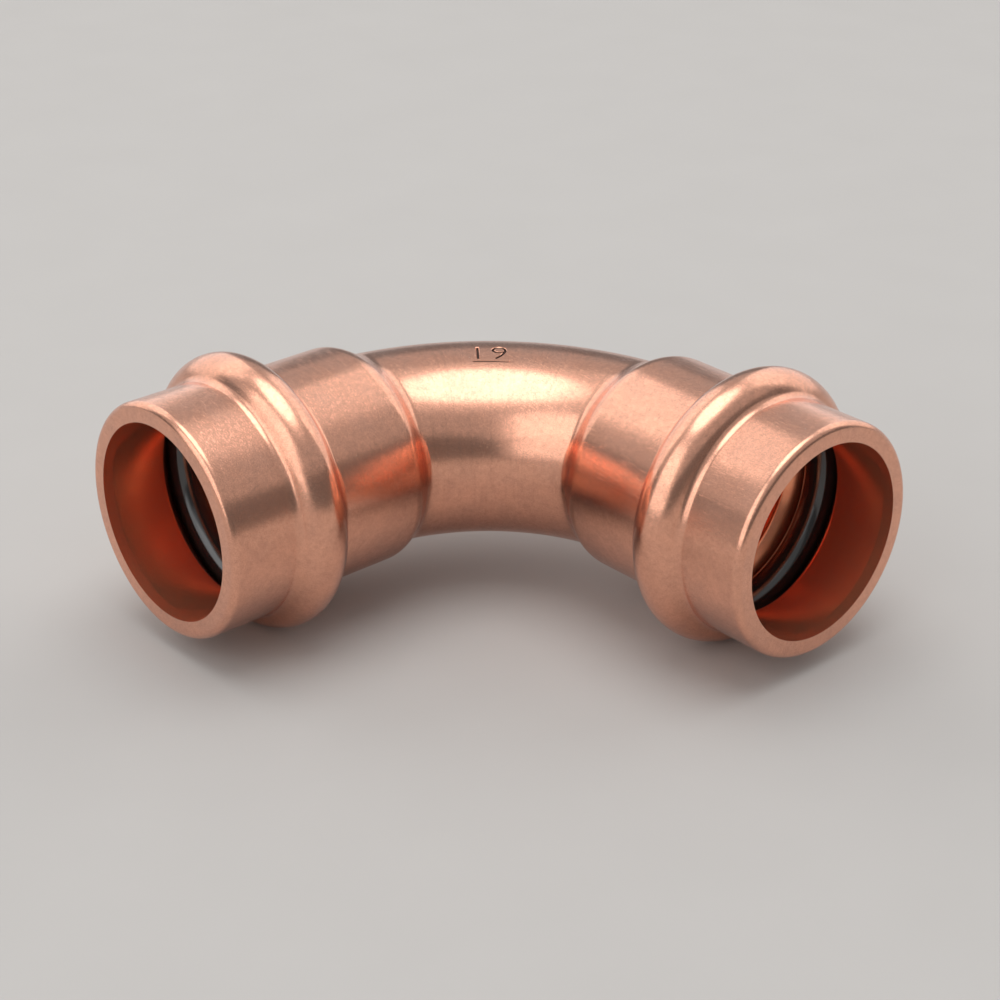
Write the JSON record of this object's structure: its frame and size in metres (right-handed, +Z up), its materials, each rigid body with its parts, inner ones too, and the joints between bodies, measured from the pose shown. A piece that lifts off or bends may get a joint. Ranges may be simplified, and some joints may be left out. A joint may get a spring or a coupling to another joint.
{
  "type": "press fit elbow",
  "caption": "Copper press fit elbow: a long-radius right-angle bend with a socket at each end, each with a rolled bead that holds a rubber O-ring.",
  "frame": {"origin": "centre of the part's box in X and Y, at the level of the lowest points of its two beads", "axes": "+X out of the right socket, -Y out of the left socket, +Z up, square to the plane of the bend"},
  "size_m": [0.0568, 0.0568, 0.0273],
  "materials": {
    "copper": "satin",
    "black_rubber": "matte"
  },
  "bodies": {
    "root": {"elbow_body": "copper", "o_ring_left": "black_rubber", "o_ring_right": "black_rubber"}
  },
  "joints": []
}
